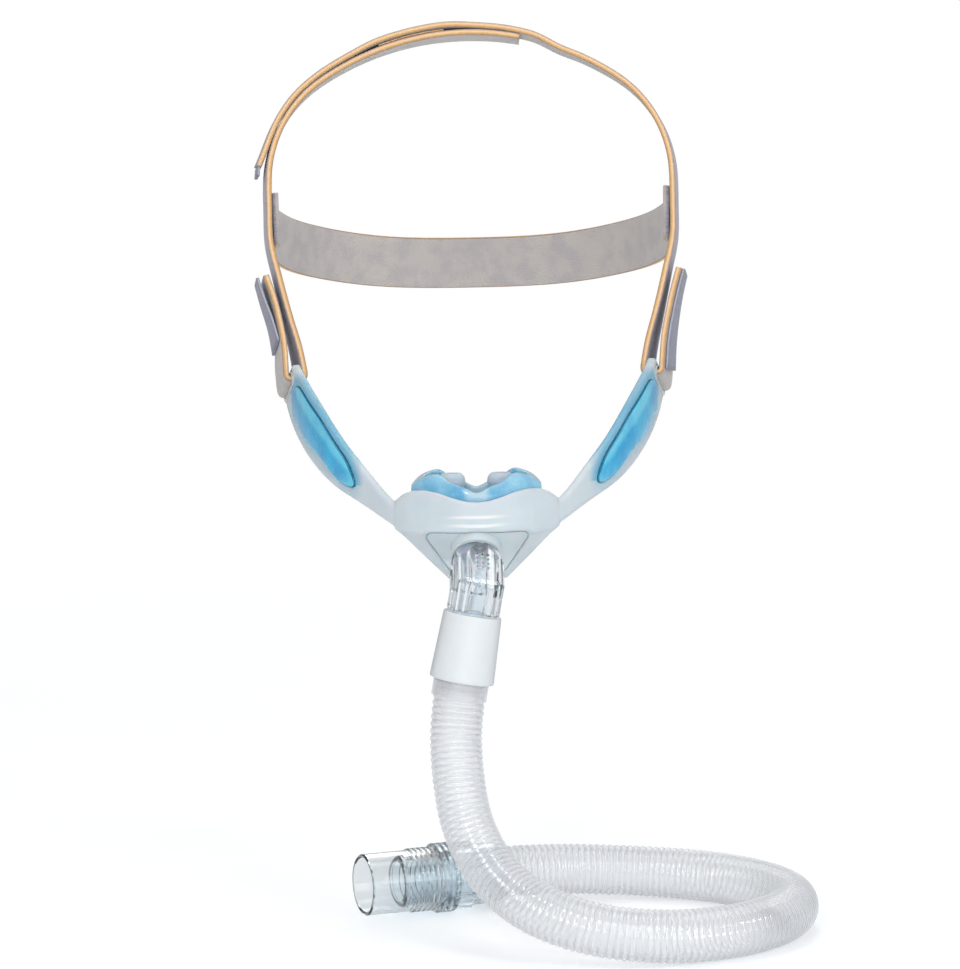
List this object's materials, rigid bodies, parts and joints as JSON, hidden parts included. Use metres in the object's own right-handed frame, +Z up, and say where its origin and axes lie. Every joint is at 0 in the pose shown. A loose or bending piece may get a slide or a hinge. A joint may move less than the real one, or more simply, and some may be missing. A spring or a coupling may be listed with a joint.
{
  "type": "cpap nasal mask",
  "caption": "Nasal breathing mask: silicone frame with gel pads, soft nasal cushion, fabric headgear, swivel elbow and a short ribbed hose with a swivel connector.",
  "frame": {"origin": "base of the nose, between the two nostril pillows of the cushion", "axes": "+Z up, -Y the way the wearer faces, +X to the right of someone facing the wearer"},
  "size_m": [0.198, 0.2883, 0.3188],
  "materials": {
    "frosted_silicone": "frosted, slightly cloudy",
    "soft_silicone": "soft, translucent",
    "gel_blue": "clear blue gel with fine specks",
    "gel_teal": "blue gel under clear skin",
    "clip_plastic": "clear, lightly frosted",
    "clear_plastic": "clear, polished",
    "white_plastic": "white, satin",
    "smoke_plastic": "clear grey",
    "hose_plastic": "translucent, ribbed",
    "strap_fabric": "laminated cloth, soft face",
    "hook_fabric": "hook tape, matt",
    "tab_fabric": "woven tab, matt"
  },
  "bodies": {
    "mask": {"mask_frame": "frosted_silicone", "gel_pad_left": "gel_blue", "gel_pad_right": "gel_blue", "slot_insert_left": "clear_plastic", "slot_insert_right": "clear_plastic", "cushion_body": "soft_silicone", "gel_rim": "gel_teal", "pillow_left": "soft_silicone", "pillow_right": "soft_silicone", "elbow_clip": "clip_plastic", "strap_left": "strap_fabric", "strap_right": "strap_fabric", "back_strap": "strap_fabric", "hook_tab_left": "hook_fabric", "hook_tab_right": "hook_fabric", "crown_hook_strip": "hook_fabric", "crown_end_tab": "tab_fabric"},
    "elbow": {"elbow": "clear_plastic", "elbow_snap_ring": "clear_plastic"},
    "hose": {"swivel_cuff": "white_plastic", "hose_top_ring": "smoke_plastic", "hose": "hose_plastic", "hose_end_cuff": "clear_plastic", "swivel_collar": "clear_plastic"},
    "connector": {"connector_sleeve": "clear_plastic"}
  },
  "joints": [
    {"name": "elbow_swivel", "type": "hinge", "parent": "mask", "child": "elbow", "pos_m": [-0.0004, -0.0163, -0.0212], "axis": [0, -0.7071, -0.7071], "continuous": true},
    {"name": "cuff_swivel", "type": "hinge", "parent": "elbow", "child": "hose", "pos_m": [-0.00203, -0.02642, -0.03992], "axis": [-0.183, -0.017, -0.983], "continuous": true},
    {"name": "connector_swivel", "type": "hinge", "parent": "hose", "child": "connector", "pos_m": [-0.02931, 0.01177, -0.1416], "axis": [-0.9259, -0.3778, 0], "continuous": true}
  ]
}
